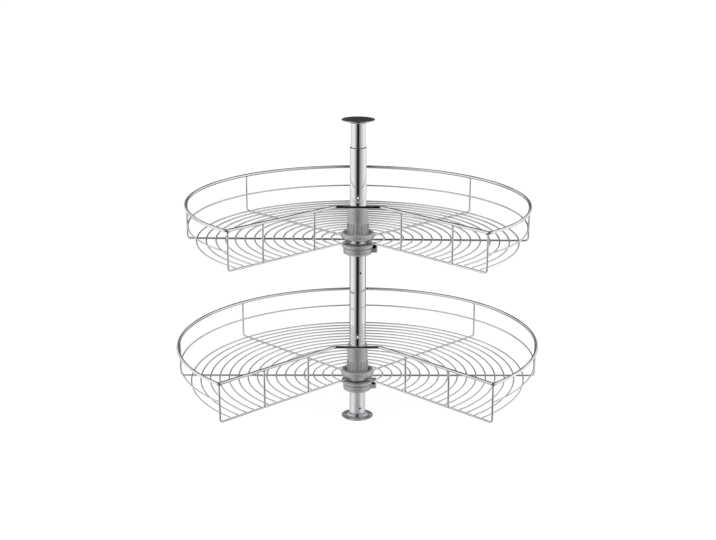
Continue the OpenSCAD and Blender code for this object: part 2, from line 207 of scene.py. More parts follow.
@dataclass(frozen=True)
class MouldedPlastic(Finish):
    """Injection moulded plastic with the fine grain of a spark-eroded mould.

    The eye gets an even, slightly satin body, a soft gleam that breaks up in the grain, and
    a trace of paler scuffing on edges that hands and tubes rub. Flake pigment makes the grey
    parts go from dark to light as they curve away.
    """

    body: str = "#8E8F91"
    shade: str = "#858688"
    scuffed: str = "#A2A3A5"
    index: float = 1.50        # typical of nylon and ABS
    gloss: float = 0.34
    grain_mm: float = 0.45     # mould grain is about 0.1 mm, drawn coarser to show
    grain_depth_mm: float = 0.010
    edge_mm: float = 0.5
    drift_mm: float = 9.0      # patches where the colour drifts a little
    body_scatter: float = 0.0
    flake: float = 0.0         # share of aluminium flake in a silver-grey pigment

    def dress(self, tree: Tree) -> Node:
        """Adds body colour, rubbed edges, grain and gleam nodes.

        Args:
            tree: the material's empty tree.

        Returns:
            The surface node.
        """
        drift = noise(tree, self.drift_mm, 3.0)
        grain = noise(tree, self.grain_mm, 4.0, 0.65)
        body = add(tree, "Mix", {"data_type": "RGBA", 6: linear(self.body), 7: linear(self.shade)},
                   {0: drift})
        soft = add(tree, "Bevel", {"samples": 6, "Radius": self.edge_mm * MM})
        flat = add(tree, "NewGeometry")
        turn = add(tree, "VectorMath", {"operation": "DOT_PRODUCT"},
                   {0: soft, 1: flat.outputs["Normal"]})
        edge = span(tree, turn.outputs["Value"], (0.995, 0.90), (0.0, 0.55))
        colour = add(tree, "Mix", {"data_type": "RGBA", 7: linear(self.scuffed)},
                     {0: edge, 6: body.outputs[2]})
        gleam = span(tree, grain, (0.3, 0.7), (self.gloss - 0.05, self.gloss + 0.07))
        relief = add(tree, "Bump", {"Strength": 0.6, "Distance": self.grain_depth_mm * MM},
                     {"Height": grain, "Normal": soft})
        return add(tree, "BsdfPrincipled",
                   {"IOR": self.index, "Metallic": self.flake,
                    "Subsurface Weight": self.body_scatter, "Subsurface Scale": 1.0 * MM},
                   {"Base Color": colour.outputs[2], "Roughness": gleam, "Normal": relief})


@dataclass(frozen=True)
class MachinedSteel(Finish):
    """Machined screw steel, oiled black or zinc plated.

    The eye gets a dull metal with turned rings too fine to count and a few bright rubs.
    """

    tone: str = "#2A2A2C"
    rub: str = "#5C5D60"
    smooth: float = 0.28
    rough: float = 0.45
    ring_mm: float = 0.25      # turning marks are about 0.1 mm apart, drawn coarser to show
    ring_depth_mm: float = 0.004
    rub_mm: float = 1.6        # bright rubs from a key and from handling

    def dress(self, tree: Tree) -> Node:
        """Adds turned rings, rubs and metal nodes.

        Args:
            tree: the material's empty tree.

        Returns:
            The surface node.
        """
        rings = noise(tree, self.ring_mm, 2.0)
        wear = span(tree, noise(tree, self.rub_mm, 4.0), (0.52, 0.74))
        tone = add(tree, "Mix", {"data_type": "RGBA", 6: linear(self.tone), 7: linear(self.rub)},
                   {0: wear})
        gloss = span(tree, rings, (0, 1), (self.smooth, self.rough))
        relief = add(tree, "Bump", {"Strength": 0.4, "Distance": self.ring_depth_mm * MM},
                     {"Height": rings})
        return add(tree, "BsdfPrincipled", {"Metallic": 1.0},
                   {"Base Color": tone.outputs[2], "Roughness": gloss, "Normal": relief})


RIM_CHROME = BrightChrome("chrome_rim_bar", mark_run_mm=60.0)
WIRE_CHROME = BrightChrome("chrome_drawn_wire", smooth=0.04, rough=0.10)
FLOOR_CHROME = BrightChrome("chrome_floor_wire", smooth=0.05, rough=0.11, haze="#E2E4E6")
FRAME_CHROME = BrightChrome("chrome_frame_wire", smooth=0.04, rough=0.10)
WELD_CHROME = BrightChrome("chrome_weld", smooth=0.10, rough=0.20, mark_mm=0.5, mark_run_mm=2.0,
                           haze="#D8DADC", mark_depth_mm=0.01)
TUBE_CHROME = BrightChrome("chrome_polished_tube", smooth=0.025, rough=0.06)
PRESSED_CHROME = BrightChrome("nickel_pressed_plate", clear="#DEDFE1", haze="#C2C4C7",
                              smooth=0.07, rough=0.16, mark_depth_mm=0.003, spin=0.7)
GREY_NYLON = MouldedPlastic("silver_grey_moulded_nylon", body="#C6C7C9", shade="#BABBBD",
                            scuffed="#D8D9DA", gloss=0.38, flake=0.80)
# dark nylon colours the guide bush, and also paints the shade in each hub ring's groove
DARK_NYLON = MouldedPlastic("dark_moulded_nylon", body="#3E3F41", shade="#38393B", scuffed="#55565A")
WHITE_ACETAL = MouldedPlastic("white_moulded_acetal", body="#E9E8E2", shade="#E2E1DA",
                              scuffed="#F1F0EC", index=1.48, gloss=0.30, grain_depth_mm=0.004,
                              body_scatter=0.08)
BLACK_STEEL = MachinedSteel("blackened_screw_steel")
ZINC_STEEL = MachinedSteel("zinc_plated_nut", tone="#A9ABAD", rub="#C9CBCD", smooth=0.22, rough=0.34)


# ---------------- mesh making

def arc(cx: float, cy: float, radius: float, start: float, end: float,
        step: float = 9.0) -> list[Point]:
    """Points on a circular arc, both ends included.

    Args:
        cx: centre, first coordinate.
        cy: centre, second coordinate.
        radius: arc radius.
        start: first angle in degrees.
        end: last angle in degrees, which may be less than the first.
        step: largest angle between two points.

    Returns:
        The points in order.
    """
    count = max(2, ceil(abs(end - start) / step))
    turns = [radians(start + (end - start) * i / count) for i in range(count + 1)]
    return [(cx + radius * cos(a), cy + radius * sin(a)) for a in turns]


def eased(corners: Sequence[Corner], closed: bool = True, steps: int = 4) -> list[Point]:
    """Rounds the corners of a flat outline.

    Args:
        corners: (x, y, radius) of each corner; a radius of zero keeps it sharp.
        closed: whether the last corner joins the first.
        steps: pieces in each rounding.

    Returns:
        The outline's points.
    """
    out: list[Point] = []
    count = len(corners)
    for i, (x, y, radius) in enumerate(corners):
        here = Vector((x, y))
        if radius <= 0 or (not closed and i in (0, count - 1)):
            out.append((x, y))
            continue
        before = Vector(corners[i - 1][:2]) - here
        after = Vector(corners[(i + 1) % count][:2]) - here
        half = before.angle(after) / 2
        if half > pi / 2 - 0.01:
            out.append((x, y))
            continue
        most = min(before.length, after.length) * 0.49  # so that two roundings never meet
        reach = min(radius / tan(half), most)
        a, b = here + before.normalized() * reach, here + after.normalized() * reach
        for k in range(steps + 1):
            t = k / steps
            spot = a * (1 - t) ** 2 + here * 2 * t * (1 - t) + b * t * t
            out.append((spot.x, spot.y))
    return out


def lathe(outline: Sequence[Point], steps: int = 96, closed: bool = True,
          turns: Sequence[float] | None = None,
          swell: Callable[[float, float, float], float] | None = None) -> Mesh:
    """Turns an outline about the Z axis.

    Args:
        outline: (radius, height) points.
        steps: pieces round the axis, where turns isn't given.
        closed: whether the outline's end joins its start.
        turns: the angles, in degrees, of the columns round the axis.
        swell: gives a column's radius from the outline's radius, height and angle.

    Returns:
        The turned mesh.
    """
    bm = bmesh.new()
    uv = bm.loops.layers.uv.new("work")
    angles = list(turns) if turns else [360 * i / steps for i in range(steps)]
    columns = []
    for angle in angles:
        a = radians(angle)
        column = []
        for r, z in outline:
            r = swell(r, z, angle) if swell else r
            column.append(bm.verts.new((r * cos(a), r * sin(a), z)))
        columns.append(column)
    lengths = [0.0]
    ring = list(outline) + ([outline[0]] if closed else [])
    for (r0, z0), (r1, z1) in zip(ring, ring[1:]):
        lengths.append(lengths[-1] + hypot(r1 - r0, z1 - z0))
    mean = sum(r for r, _ in outline) / len(outline)
    for i, column in enumerate(columns):
        other = columns[(i + 1) % len(columns)]
        u0 = radians(angles[i]) * mean
        u1 = radians(angles[i + 1] if i + 1 < len(angles) else angles[0] + 360) * mean
        for j in range(len(lengths) - 1):
            k = (j + 1) % len(outline)
            corners = [(column[j], u0, lengths[j]), (other[j], u1, lengths[j]),
                       (other[k], u1, lengths[j + 1]), (column[k], u0, lengths[j + 1])]
            face = bm.faces.new([c[0] for c in corners])
            for loop, (_, u, v) in zip(face.loops, corners):
                loop[uv].uv = (u, v)
    bmesh.ops.remove_doubles(bm, verts=bm.verts, dist=1e-4)
    bmesh.ops.recalc_face_normals(bm, faces=bm.faces)
    return bm


def run_wire(bm: Mesh, path: Sequence[Vector], radius: float, sides: int = 16,
             closed: bool = False) -> None:
    """Adds a round wire along a path, with softly rounded ends where it is open.

    Args:
        bm: the mesh that gets the wire.
        path: centreline points.
        radius: wire radius.
        sides: pieces round the wire.
        closed: whether the path's end joins its start.
    """
    uv = bm.loops.layers.uv.get("work") or bm.loops.layers.uv.new("work")
    points = [Vector(p) for p in path]
    count = len(points)
    heads = []
    for i in range(count):
        before = points[i - 1] if closed or i else points[0]
        after = points[(i + 1) % count] if closed or i < count - 1 else points[-1]
        heads.append((after - before).normalized())
    side = heads[0].orthogonal().normalized()
    if abs(heads[0].z) < 0.9:
        side = heads[0].cross(Vector((0, 0, 1))).normalized()
    stations: list[tuple[Vector, Vector, Vector, float]] = []
    for i in range(count):
        side = (side - heads[i] * side.dot(heads[i])).normalized()
        stations.append((points[i], side.copy(), heads[i], 1.0))
    if not closed:
        dome = ((0.42, 0.30), (0.36, 0.62), (0.22, 0.86), (0.08, 0.98), (0.0, 1.0))
        caps = [[(spot + head * radius * (dome[0][0] - out) * way, across, head, share)
                 for out, share in dome]
                for (spot, across, head, _), way in ((stations[0], 1), (stations[-1], -1))]
        stations = caps[0] + stations[1:-1] + caps[1][::-1]
    rings, runs, run = [], [], 0.0
    for i, (spot, out, head, share) in enumerate(stations):
        up = head.cross(out)
        rings.append([bm.verts.new(spot + (out * cos(a) + up * sin(a)) * radius * share)
                      for a in (2 * pi * k / sides for k in range(sides))])
        if i:
            run += (spot - stations[i - 1][0]).length
        runs.append(run)
    girth = 2 * pi * radius / sides
    for i in range(len(rings) if closed else len(rings) - 1):
        j = (i + 1) % len(rings)
        u0, u1 = runs[i], runs[j] if j else runs[i] + (stations[0][0] - stations[i][0]).length
        for k in range(sides):
            m = (k + 1) % sides
            face = bm.faces.new((rings[i][k], rings[i][m], rings[j][m], rings[j][k]))
            for loop, spot in zip(face.loops, ((u0, k), (u0, k + 1), (u1, k + 1), (u1, k))):
                loop[uv].uv = (spot[0], spot[1] * girth)
    if not closed:
        bm.faces.new(list(reversed(rings[0])))
        bm.faces.new(rings[-1])


def add_collar(bm: Mesh, spot: Vector, axis: Vector, outline: Sequence[Point], sides: int = 12) -> None:
    """Adds a small turned fillet, such as a weld's, about any axis.

    Args:
        bm: the mesh that gets it.
        spot: where the outline's height zero lies.
        axis: the direction of the outline's height.
        outline: (radius, height) points, from one end to the other.
        sides: pieces round the axis.
    """
    uv = bm.loops.layers.uv.get("work") or bm.loops.layers.uv.new("work")
    head = axis.normalized()
    out = head.orthogonal().normalized()
    up = head.cross(out)
    rings = [[bm.verts.new(spot + head * z + (out * cos(a) + up * sin(a)) * r)
              for a in (2 * pi * k / sides for k in range(sides))] for r, z in outline]
    for i in range(len(rings) - 1):
        for k in range(sides):
            m = (k + 1) % sides
            face = bm.faces.new((rings[i][k], rings[i][m], rings[i + 1][m], rings[i + 1][k]))
            for loop, (u, v) in zip(face.loops, ((k, i), (k + 1, i), (k + 1, i + 1), (k, i + 1))):
                loop[uv].uv = (u * 0.7, v * 0.7)


def plug(radius: float, low: float, high: float, steps: int = 32) -> Mesh:
    """Returns a plain cylinder about the Z axis, or a prism where it has few sides."""
    return lathe([(0, low), (radius, low), (radius, high), (0, high)], steps, closed=False)


def gather(meshes: Iterable[Mesh]) -> Mesh:
    """Copies meshes into a single one and frees them.

    Args:
        meshes: the meshes, in order.

    Returns:
        The single mesh.
    """
    whole = bmesh.new()
    whole.loops.layers.uv.new("work")
    for bm in meshes:
        mesh = bpy.data.meshes.new("part")
        bm.to_mesh(mesh)
        bm.free()
        whole.from_mesh(mesh)
        bpy.data.meshes.remove(mesh)
    return whole


def lift(height: float) -> Matrix:
    """Returns a move along the Z axis."""
    return Matrix.Translation((0, 0, height))


def rotate(angle: float, axis: str) -> Matrix:
    """Returns a turn in degrees about an axis."""
    return Matrix.Rotation(radians(angle), 4, axis)


def shift(bm: Mesh, matrix: Matrix) -> Mesh:
    """Moves a whole mesh by a matrix and returns it."""
    bmesh.ops.transform(bm, matrix=matrix, verts=bm.verts)
    return bm


def make_object(name: str, bm: Mesh) -> bpy.types.Object:
    """Turns a millimetre mesh into a linked object in metres, and frees the mesh.

    Args:
        name: the object's name.
        bm: the mesh.

    Returns:
        The object.
    """
    bmesh.ops.scale(bm, vec=(MM, MM, MM), verts=bm.verts)
    mesh = bpy.data.meshes.new(name)
    bm.to_mesh(mesh)
    bm.free()
    made = bpy.data.objects.new(name, mesh)
    bpy.context.scene.collection.objects.link(made)
    return made


class Join(Enum):
    """What a tool mesh does to a piece."""

    ADD = "UNION"
    CUT = "DIFFERENCE"
    MEET = "INTERSECT"


def work(base: bpy.types.Object, tool: Mesh, how: Join) -> None:
    """Joins a tool to a piece, cuts it out, or keeps only where the two meet.

    Args:
        base: the piece whose mesh changes.
        tool: the mesh that does it, which is used up.
        how: what is done.
    """
    other = make_object("tool", tool)
    change = base.modifiers.new("work", "BOOLEAN")
    change.operation, change.object, change.solver = how.value, other, "EXACT"
    graph = bpy.context.evaluated_depsgraph_get()
    mesh = bpy.data.meshes.new_from_object(base.evaluated_get(graph))
    base.modifiers.clear()
    base.data = mesh
    bpy.data.objects.remove(other)


def fit(made: bpy.types.Object, finish: Finish, body: str, node: str = "",
        sharp: float = 38.0) -> None:
    """Shades, dresses and seats a finished piece, and reports it.

    Args:
        made: the piece's object.
        finish: the surface that it gets.
        body: the body that it rides on.
        node: the CAD node that it stands for, if it stands for one.
        sharp: edges that turn more than this many degrees stay crisp.
    """
    made.data.shade_smooth()
    made.data.set_sharp_from_angle(angle=radians(sharp))
    made.data.materials.clear()
    made.data.materials.append(finish.material())
    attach(made, body)
    if node:
        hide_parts(node)
    LOG.info("%s: %d faces in %s", made.name, len(made.data.polygons), finish.name)


@dataclass
class Tier:
    """What the sub-assemblies of one tier share: its name and its rim's height."""

    tier: str
    rim_z: float

    @property
    def place(self) -> Matrix:
        """Where a mesh goes that is drawn with the rim at height zero."""
        return lift(self.rim_z)

    def seat(self, name: str, bm: Mesh, finish: Finish, slot: str, node: str = "",
             body: str = "tray", sharp: float = 38.0) -> None:
        """Moves a mesh to its place and fits it.

        Args:
            name: the piece's name after the tier's.
            bm: the mesh.
            finish: the surface that it gets.
            slot: the record's material slot; not used.
            node: the name, after the tier's, of the CAD node that it stands for.
            body: the name, after the tier's, of the body that it rides on.
            sharp: edges that turn more than this many degrees stay crisp.
        """
        made = make_object(f"{self.tier}_{name}", shift(bm, self.place))
        fit(made, finish, f"{self.tier}_{body}", node and f"{self.tier}_{node}", sharp)


# ---------------- the post

@dataclass
class Post:
    """The telescopic post: two tubes, two pressed flanges, the guide bush, studs and grubs."""

    total_height: float = 602.0
    outer_top: float = 547.4
    outer_r: float = 16.0
    inner_r: float = 14.0
    wall: float = 1.2
    inner_length: float = 458.0
    base_plate_r: float = 31.5
    top_plate_r: float = 32.0
    plate: float = 2.0
    neck: float = 5.0
    neck_r: float = 21.5
    hole_pcd: float = 53.0
    hole_r: float = 2.1
    sink: float = 1.6          # depth and spread of a fixing hole's countersink
    holes: int = 4
    stud_heights: tuple[float, float] = (452.0, 172.0)
    grub_heights: tuple[float, float] = (302.0, 20.5)
    grub_turn: float = -70.0
    grub_r: float = 2.05

    def grub_place(self, z: float) -> Matrix:
        """Returns the matrix that lays the height axis along a grub screw's hole."""
        return lift(z) @ rotate(self.grub_turn, "Z") @ rotate(90, "Y")

    def tube(self, radius: float, low: float, high: float, rows: Sequence[float] = ()) -> Mesh:
        """Makes a tube whose sawn ends are deburred.

        Args:
            radius: the tube's outer radius.
            low: where it starts.
            high: where it ends.
            rows: heights of extra rings of points, to both sides of a hole.

        Returns:
            The tube's mesh.
        """
        inside = radius - self.wall
        return lathe(eased([(radius, low, 0.35), *((radius, z, 0) for z in rows),
                            (radius, high, 0.35), (inside, high, 0.35),
                            *((inside, z, 0) for z in reversed(rows)), (inside, low, 0.35)],
                           steps=3), steps=128)

    def flange(self, name: str, plate_r: float, tube_r: float, slack: float,
               spigot: float) -> bpy.types.Object:
        """A pressed flange standing on height zero, with countersunk fixing holes.

        Args:
            name: the flange's name.
            plate_r: the plate's radius.
            tube_r: the outer radius of the tube that it grips.
            slack: how far the spigot stays from the tube's inside.
            spigot: the spigot's height over the plate.

        Returns:
            The flange's object.
        """
        grip_r, spigot_r = tube_r + 0.05, tube_r - self.wall - slack
        t, n = self.plate, self.neck
        outline = eased([
            (0, 0, 0), (plate_r, 0, 0.6), (plate_r, t, 0.9),
            (self.neck_r + 0.6, t, 1.6), (self.neck_r - 2.2, t + 1.5, 3.0),
            (grip_r + 2.3, t + n - 0.6, 1.4), (grip_r + 0.9, t + n, 0.5), (grip_r, t + n, 0.2),
            (grip_r, t, 0), (spigot_r, t, 0), (spigot_r, t + spigot, 0.5),
            (spigot_r - 2.5, t + spigot, 0.3), (spigot_r - 2.5, t, 0), (0, t, 0)],
            closed=False, steps=5)
        made = make_object(name, lathe(outline, steps=128, closed=False))
        wide = self.hole_r + self.sink
        for i in range(self.holes):
            drill = lathe([(0, -1), (self.hole_r, -1), (self.hole_r, t + 0.5 - self.sink),
                           (wide, t + 0.5), (0, t + 0.5)], steps=32, closed=False)
            out = Matrix.Translation((self.hole_pcd / 2, 0, 0))
            work(made, shift(drill, rotate(360 * i / self.holes, "Z") @ out), Join.CUT)
        return made

    def build_flanges(self) -> None:
        """Builds the base flange and the top flange, which stands on its head."""
        base = self.flange("base_flange_pressed", self.base_plate_r, self.outer_r, 0.55, 30)
        fit(base, PRESSED_CHROME, "post", "base_flange")
        top = self.flange("top_flange_pressed", self.top_plate_r, self.inner_r, 0.05, 24)
        top.data.transform(lift(self.total_height * MM) @ rotate(180, "X"))
        fit(top, PRESSED_CHROME, "top_tube", "top_flange")

    def build_tubes(self) -> None:
        """Builds both tubes and the plastic bush between them."""
        rows = sorted(z + d for z in self.grub_heights for d in (-2.6, 2.6))
        outer = make_object("outer_tube_polished",
                            self.tube(self.outer_r, self.plate, self.outer_top, rows))
        for z in self.grub_heights:
            work(outer, shift(plug(self.grub_r, 12, 18), self.grub_place(z)), Join.CUT)
        fit(outer, TUBE_CHROME, "post", "outer_tube")
        top = self.total_height - self.plate
        inner = make_object("inner_tube_polished",
                            self.tube(self.inner_r, top - self.inner_length, top))
        fit(inner, TUBE_CHROME, "top_tube", "inner_tube")
        bore, skin = self.inner_r + 0.08, self.outer_r - self.wall - 0.05
        bush = lathe(eased([
            (bore, -20, 0.1), (skin, -20, 0.1), (skin, 0, 0), (self.outer_r - 0.2, 0, 0.2),
            (self.outer_r - 0.2, 0.9, 0.3), (self.outer_r - 0.7, 1.2, 0.3), (bore, 1.2, 0.2)],
            steps=3), steps=128)
        fit(make_object("guide_bush_moulded", shift(bush, lift(self.outer_top))), DARK_NYLON,
            "post", "guide_bush")

    def build_studs(self) -> None:
        """Builds the two stop studs as one piece, and their pale pin ends as another."""
        head = [(0.0, 1.2), (4.1, 1.2), (4.35, 1.1), (4.5, 0.8), (4.6, 0.3), (4.6, -0.2),
                (4.5, -0.75), (2.0, -0.8), (2.0, -1.6), (0.0, -1.6)]
        pin = [(0.0, 2.1), (0.9, 2.02), (1.6, 1.75), (1.95, 1.4), (2.1, 1.1), (0.0, 1.1)]
        places = [Matrix.Translation((0, -self.outer_r, z)) @ rotate(90, "X")
                  for z in self.stud_heights]
        heads = gather(shift(lathe(head, steps=48, closed=False), place) for place in places)
        fit(make_object("stop_studs_domed", heads), TUBE_CHROME, "post",
            "stop_studs", sharp=35)
        pins = gather(shift(lathe(pin, steps=32, closed=False), place) for place in places)
        fit(make_object("stop_stud_pin_ends", pins), WHITE_ACETAL, "post", sharp=55)

    def build_grubs(self) -> None:
        """Builds the two socket grub screws as one piece."""
        screw = [(0.0, 14.4), (1.06, 14.4), (1.12, 15.6), (1.55, 15.7), (1.95, 15.4),
                 (1.95, 14.3), (0.0, 14.3)]
        grubs = gather(shift(lathe(screw, steps=24, closed=False), self.grub_place(z))
                       for z in self.grub_heights)
        fit(make_object("grub_screws_socket", grubs), BLACK_STEEL, "post", "grub_screws")

    def build(self) -> None:
        """Builds every piece of the post."""
        self.build_flanges()
        self.build_tubes()
        self.build_studs()
        self.build_grubs()


# ---------------- the trays

@dataclass
class WireTray(Tier):
    """One three-quarter round tray: rim, guard, floor rings, frame wires and their welds."""

    rim_r: float
    guard_drop: float
    ring_count: int
    first_ring_r: float
    ring_inset: float
    inner_upright: float
    corner_inset: float
    lean: float                # degrees that the wires rise towards +X, from the hub's play
    turned: float              # degrees about the post
    outer_upright: float = 243.9
    depth: float = 75.0
    rim_wire: float = 3.0
    frame_wire: float = 2.0
    ring_wire: float = 1.5
    guard_wire: float = 1.5
    radial_count: int = 5
    corner_r: float = 6.0
    inner_bend_r: float = 14.0
    front_bar: float = 45.5
    bend_r: float = 7.0
    stub_r: float = 20.25
    bite: float = 0.05
    edge: float = -45.0

    @property
    def ring_drop(self) -> float:
        """Drop of the floor rings, which lie on the radial wires."""
        return self.depth - self.frame_wire - self.ring_wire + self.bite

    @property
    def ring_radii(self) -> list[float]:
        """Radii of the floor rings, smallest first."""
        pitch = (self.rim_r - self.ring_inset - self.first_ring_r) / (self.ring_count - 1)
        return [self.first_ring_r + i * pitch for i in range(self.ring_count)]

    @property
    def spokes(self) -> list[tuple[float, float]]:
        """Works out every wire that runs out from the hub.

        Returns:
            Angle and reach of each wire, edge wires first and last.
        """
        step = 180 / (self.radial_count - 1)
        back = [(i * step, self.rim_r) for i in range(self.radial_count)]
        reach = self.rim_r - self.corner_inset
        return [(self.edge, reach), *back, (180 - self.edge, reach)]

    @property
    def place(self) -> Matrix:
        """Leans and turns wires on their hub, which are drawn at their own height.

        Returns:
            The matrix that does it.
        """
        foot = lift(self.rim_z - self.depth)
        play = rotate(self.turned, "Z") @ rotate(-self.lean, "Y")
        return foot @ play @ foot.inverted()

    def level(self, points: Iterable[Point], drop: float) -> list[Vector]:
        """Returns plan points as points at a drop below the rim."""
        return [Vector((x, y, self.rim_z - drop)) for x, y in points]

    def rim_path(self) -> list[Vector]:
        """Draws half of the rim's centreline, from the middle of the front bar, and mirrors it.

        Returns:
            The points of the centreline, once round.
        """
        centre = self.rim_r - self.corner_r
        lead = degrees(asin(self.corner_r / centre))
        t = self.inner_bend_r * tan(radians(22.5))
        turn = radians(self.edge)
        inner = arc(self.front_bar - t, -self.front_bar - self.inner_bend_r, self.inner_bend_r,
                    90, 90 + self.edge, 5)
        corner = [(x * cos(turn) - y * sin(turn), x * sin(turn) + y * cos(turn))
                  for x, y in arc(centre * cos(radians(lead)), self.corner_r,
                                  self.corner_r, -90, lead, 8)]
        (x0, y0), (x1, y1) = inner[-1], corner[0]
        edge = [(x0 + (x1 - x0) * k / 12, y0 + (y1 - y0) * k / 12) for k in range(1, 12)]
        round_back = arc(0, 0, self.rim_r, self.edge + lead, 90, 1.5)
        bar = [((self.front_bar - t) * k / 4, -self.front_bar) for k in range(4)]
        half = bar[1:] + inner + edge + corner + round_back[1:]
        left = [(-x, y) for x, y in reversed(half[:-1])]
        return self.level([bar[0]] + half + left, 0)

    def build_rim(self) -> None:
        """Builds the thick rim as one closed bar."""
        bm = bmesh.new()
        run_wire(bm, self.rim_path(), self.rim_wire, sides=28, closed=True)
        self.seat("rim_bar", bm, RIM_CHROME, "rim_chrome", "rim", sharp=80)

    def build_guard(self) -> None:
        """Builds the guard wire, which runs just inside the uprights."""
        r = self.rim_r - self.frame_wire - self.guard_wire + self.bite
        lead = degrees(asin((self.frame_wire - self.bite) / r))
        bm = bmesh.new()
        run_wire(bm, self.level(arc(0, 0, r, self.edge + lead, 180 - self.edge - lead, 1.5),
                                self.guard_drop), self.guard_wire)
        self.seat("guard_line", bm, WIRE_CHROME, "wire_chrome", "guard_wire", sharp=70)

    def build_rings(self) -> None:
        """Builds the concentric floor rings."""
        bm = bmesh.new()
        for r in self.ring_radii:
            over = degrees(asin(self.ring_wire / r))
            run_wire(bm, self.level(arc(0, 0, r, self.edge - over, 180 - self.edge + over, 2.0),
                                    self.ring_drop), self.ring_wire, sides=14)
        self.seat("floor_lines", bm, FLOOR_CHROME, "floor_chrome", "floor_rings", sharp=70)

    def spoke_path(self, turn: float, reach: float) -> list[Vector]:
        """Returns the centreline of one wire from the hub out and up to the rim.

        Args:
            turn: the wire's angle about the post, in degrees.
            reach: where it turns up, from the post's axis.

        Returns:
            The points of the centreline.
        """
        foot, b = -self.depth, self.bend_r
        flat = [(self.stub_r - self.bite + k * (reach - b - self.stub_r) / 6, foot) for k in range(7)]
        bend = arc(reach - b, foot + b, b, -90, 0, 9)
        top = -self.rim_wire + self.bite
        path = flat[:-1] + bend + [(reach, top)]
        a = radians(turn)
        return [Vector((x * cos(a), x * sin(a), self.rim_z + z)) for x, z in path]

    def build_spokes(self) -> None:
        """Builds the radial wires and the two edge wires."""
        sets = {"radial_wires": self.spokes[1:-1], "edge_wires": [self.spokes[0], self.spokes[-1]]}
        for name, spokes in sets.items():
            bm = bmesh.new()
            for turn, reach in spokes:
                run_wire(bm, self.spoke_path(turn, reach), self.frame_wire, sides=20)
            self.seat(f"{name}_drawn", bm, FRAME_CHROME, "frame_chrome", name, sharp=70)

    @property
    def upright_spots(self) -> list[Point]:
        """Works out where the short uprights stand on the two front edges.

        Returns:
            Their places in plan.
        """
        turns = [radians(turn) for turn in (self.edge, 180 - self.edge)]
        return [(x * cos(a), x * sin(a)) for a in turns
                for x in (self.inner_upright, self.outer_upright)]

    def build_uprights(self) -> None:
        """Builds the short uprights between edge wire and rim."""
        bm = bmesh.new()
        foot, top = self.depth - self.frame_wire + self.bite, self.rim_wire - self.bite
        for x, y in self.upright_spots:
            run_wire(bm, [Vector((x, y, self.rim_z - d)) for d in
                          (foot, foot * 0.7, foot * 0.4, top)], self.frame_wire, sides=20)
        self.seat("edge_uprights_drawn", bm, FRAME_CHROME, "frame_chrome", "edge_uprights", sharp=70)

    def build_welds(self) -> None:
        """Builds the welds: crossings in the floor, feet and heads of uprights, hub and guard."""
        bm = bmesh.new()
        up = Vector((0, 0, 1))
        cross = [(1.75, -0.9), (1.15, -0.25), (0.95, 0.15), (1.0, 0.5), (1.45, 1.0)]
        butt = [(2.0, -2.4), (2.12, -1.7), (2.5, -0.8), (3.0, 0.1), (3.1, 0.7)]
        guard = [(1.6, -1.1), (1.25, -0.4), (1.2, 0.2), (1.55, 0.9)]
        root = [(2.0, -3.0), (2.2, -1.9), (2.8, -0.8), (3.5, 0.2), (3.6, 0.7)]
        contact = self.rim_z - self.depth + self.frame_wire
        for turn, reach in self.spokes:
            a = radians(turn)
            out = Vector((cos(a), sin(a), 0))
            for r in self.ring_radii:
                add_collar(bm, out * r + up * contact, up, cross, sides=10)
            add_collar(bm, out * reach + up * (self.rim_z - self.rim_wire), up, butt)
            add_collar(bm, out * (self.stub_r + 0.2) + up * (self.rim_z - self.depth), -out, root)
            if reach == self.rim_r:
                add_collar(bm, out * (reach - self.frame_wire)
                           + up * (self.rim_z - self.guard_drop), out, guard)
        for x, y in self.upright_spots:
            add_collar(bm, Vector((x, y, self.rim_z - self.rim_wire)), up, butt)
            add_collar(bm, Vector((x, y, contact)), -up, butt)
        self.seat("welds", bm, WELD_CHROME, "frame_chrome", sharp=60)

    def build(self) -> None:
        """Builds every wire of the tray and its welds."""
        self.build_rim()
        self.build_guard()
        self.build_rings()
        self.build_spokes()
        self.build_uprights()
        self.build_welds()


# ---------------- the hubs

